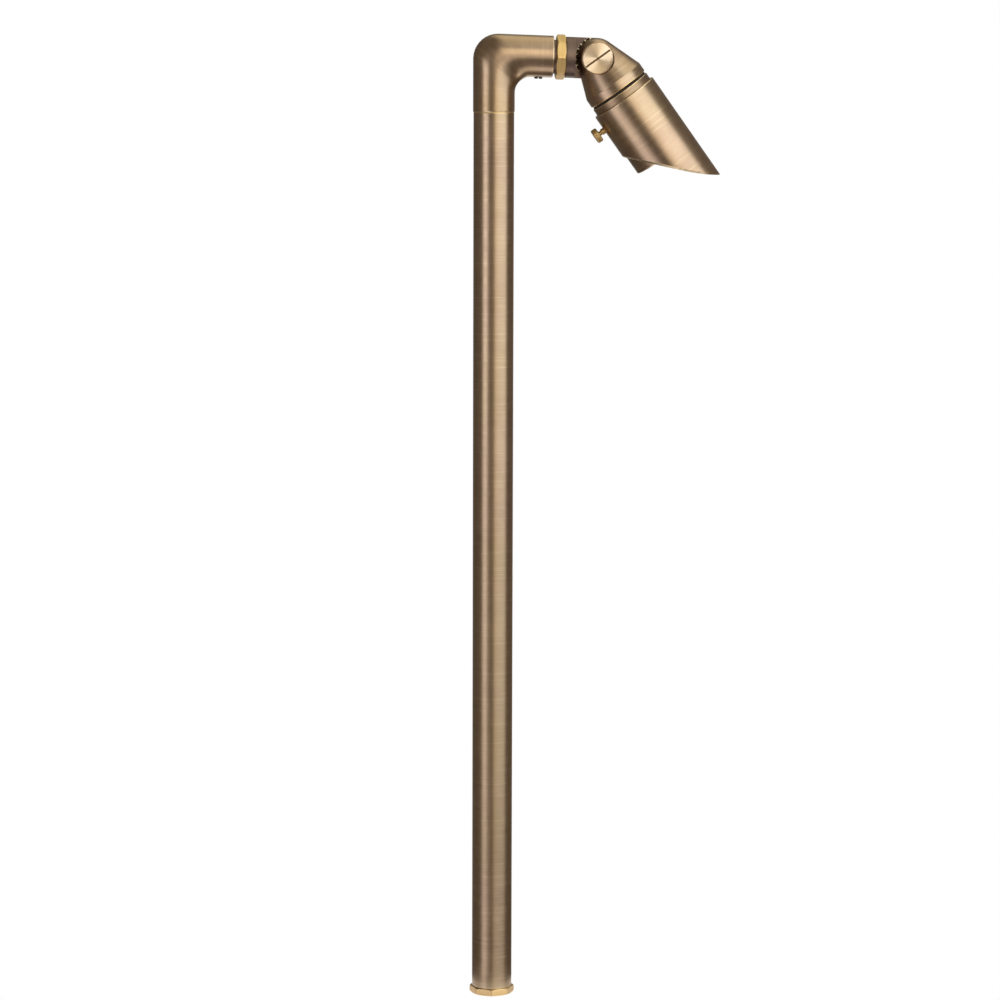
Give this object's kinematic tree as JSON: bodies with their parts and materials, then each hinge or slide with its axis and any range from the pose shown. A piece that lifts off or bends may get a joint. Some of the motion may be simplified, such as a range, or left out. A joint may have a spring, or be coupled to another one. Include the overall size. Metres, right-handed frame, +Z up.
{
  "type": "directional path light",
  "caption": "Path light with a straight stem, an elbow, a toothed tilting knuckle and a small spot head whose angle-cut glare shroud slides on its barrel.",
  "frame": {"origin": "centre of the threaded hole in the foot bushing, on its bottom face", "axes": "+Z up along the stem; +X from the stem out along the arm to the lamp; +Y away from the viewer of the picture"},
  "size_m": [0.1566, 0.0436, 0.6123],
  "materials": {
    "aged_brass": "aged brown bronze patina, fine circular brushing, satin",
    "dark_bronze": "dark aged bronze, satin",
    "raw_brass": "raw turned brass, lightly toned",
    "black_rubber": "matte",
    "silicone": "matte, grey silicone",
    "zinc_steel": "zinc plated",
    "dark_steel": "blackened",
    "socket_ceramic": "unglazed",
    "clear_glass": "polished clear",
    "mirror_glass": "facetless bright coating"
  },
  "bodies": {
    "stem": {"base_bushing": "raw_brass", "stem_tube": "aged_brass", "elbow": "aged_brass", "elbow_set_screw": "dark_steel"},
    "knuckle": {"knuckle_base": "dark_bronze", "wire_grommet": "silicone"},
    "lock_nut": {"lock_nut": "raw_brass"},
    "pivot_screw": {"pivot_screw": "raw_brass"},
    "head": {"lamp_cap": "aged_brass", "pivot_o_ring": "black_rubber", "cap_o_ring": "black_rubber", "socket_bracket": "zinc_steel", "bracket_screws": "zinc_steel", "lamp_socket": "socket_ceramic", "socket_contacts": "raw_brass", "lamp_reflector": "mirror_glass", "lamp_capsule": "clear_glass", "lamp_pins": "raw_brass", "lamp_front_glass": "clear_glass"},
    "barrel": {"barrel": "aged_brass", "lens_gasket": "silicone", "lens": "clear_glass", "lens_retainer": "raw_brass"},
    "shroud": {"glare_shroud": "aged_brass"},
    "thumb_screw": {"thumb_screw": "raw_brass"}
  },
  "joints": [
    {"name": "arm_swivel", "type": "hinge", "parent": "stem", "child": "knuckle", "pos_m": [0.06411, 0, 0.59656], "axis": [0.9994, 0, -0.0349], "range_deg": [-180, 180]},
    {"name": "lock_nut_turn", "type": "hinge", "parent": "knuckle", "child": "lock_nut", "pos_m": [0.04138, 0, 0.59735], "axis": [0.9994, 0, -0.0349], "continuous": true},
    {"name": "head_tilt", "type": "hinge", "parent": "knuckle", "child": "head", "pos_m": [0.06411, 0, 0.59656], "axis": [0, 1, 0], "range_deg": [-124, 19]},
    {"name": "pivot_screw_turn", "type": "hinge", "parent": "knuckle", "child": "pivot_screw", "pos_m": [0.06411, 0, 0.59656], "axis": [0, 1, 0], "continuous": true},
    {"name": "barrel_turn", "type": "hinge", "parent": "head", "child": "barrel", "pos_m": [0.06411, 0, 0.59656], "axis": [0.5807, 0, -0.8141], "continuous": true},
    {"name": "shroud_slide", "type": "slide", "parent": "barrel", "child": "shroud", "axis": [0.5807, 0, -0.8141], "range_m": [-0.004, 0.02]},
    {"name": "thumb_screw_turn", "type": "hinge", "parent": "shroud", "child": "thumb_screw", "pos_m": [0.08689, 0, 0.56462], "axis": [-0.8141, 0, -0.5807], "continuous": true}
  ]
}
